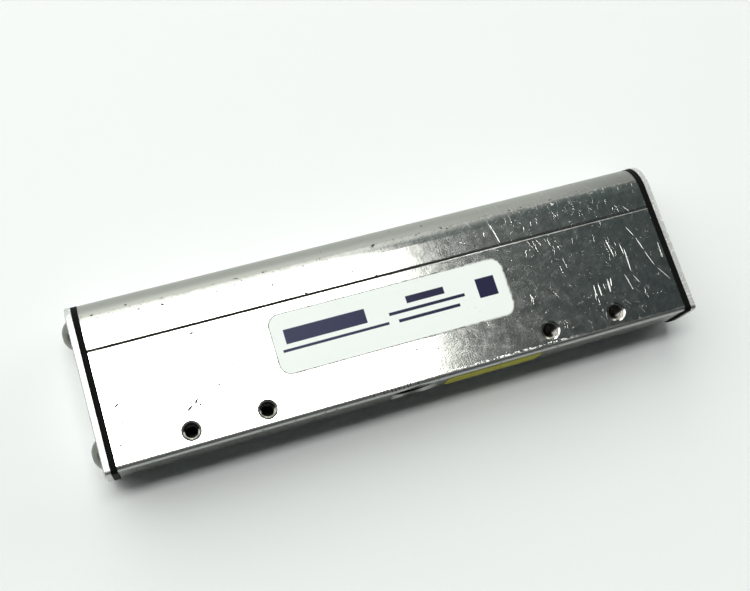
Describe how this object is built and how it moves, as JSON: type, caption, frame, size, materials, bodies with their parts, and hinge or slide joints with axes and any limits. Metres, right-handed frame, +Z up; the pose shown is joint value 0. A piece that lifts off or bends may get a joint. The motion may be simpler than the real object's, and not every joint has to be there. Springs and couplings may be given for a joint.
{
  "type": "compressed air knife",
  "caption": "Slotted aluminium air bar: compressed air enters a side port, fills a plenum and leaves a full-length slot as a flat sheet that follows the rounded edge.",
  "frame": {"origin": "middle of the underside, where the bar rests", "axes": "+X along the bar, +Y from the inlet side to the outlet side, +Z up through the top face with the mounting holes"},
  "size_m": [0.1628, 0.0443, 0.0192],
  "materials": {
    "bar_aluminium": "mill finish, lightly scratched and nicked",
    "plate_aluminium": "sheared bright sheet",
    "stainless_steel": "plain stainless",
    "gasket_rubber": "matt black",
    "label_white": "satin vinyl, plain printed bars",
    "sticker_yellow": "satin vinyl, plain"
  },
  "bodies": {
    "root": {"body": "bar_aluminium", "cap": "bar_aluminium", "shim": "stainless_steel", "gasket_left": "gasket_rubber", "gasket_right": "gasket_rubber", "end_plate_left": "plate_aluminium", "end_plate_right": "plate_aluminium", "label": "label_white", "sticker": "sticker_yellow", "cap_screw_1": "stainless_steel", "cap_screw_2": "stainless_steel", "cap_screw_3": "stainless_steel", "cap_screw_4": "stainless_steel", "cap_screw_5": "stainless_steel", "end_screw_left_near": "stainless_steel", "end_screw_left_far": "stainless_steel", "end_screw_right_near": "stainless_steel", "end_screw_right_far": "stainless_steel"}
  },
  "joints": []
}
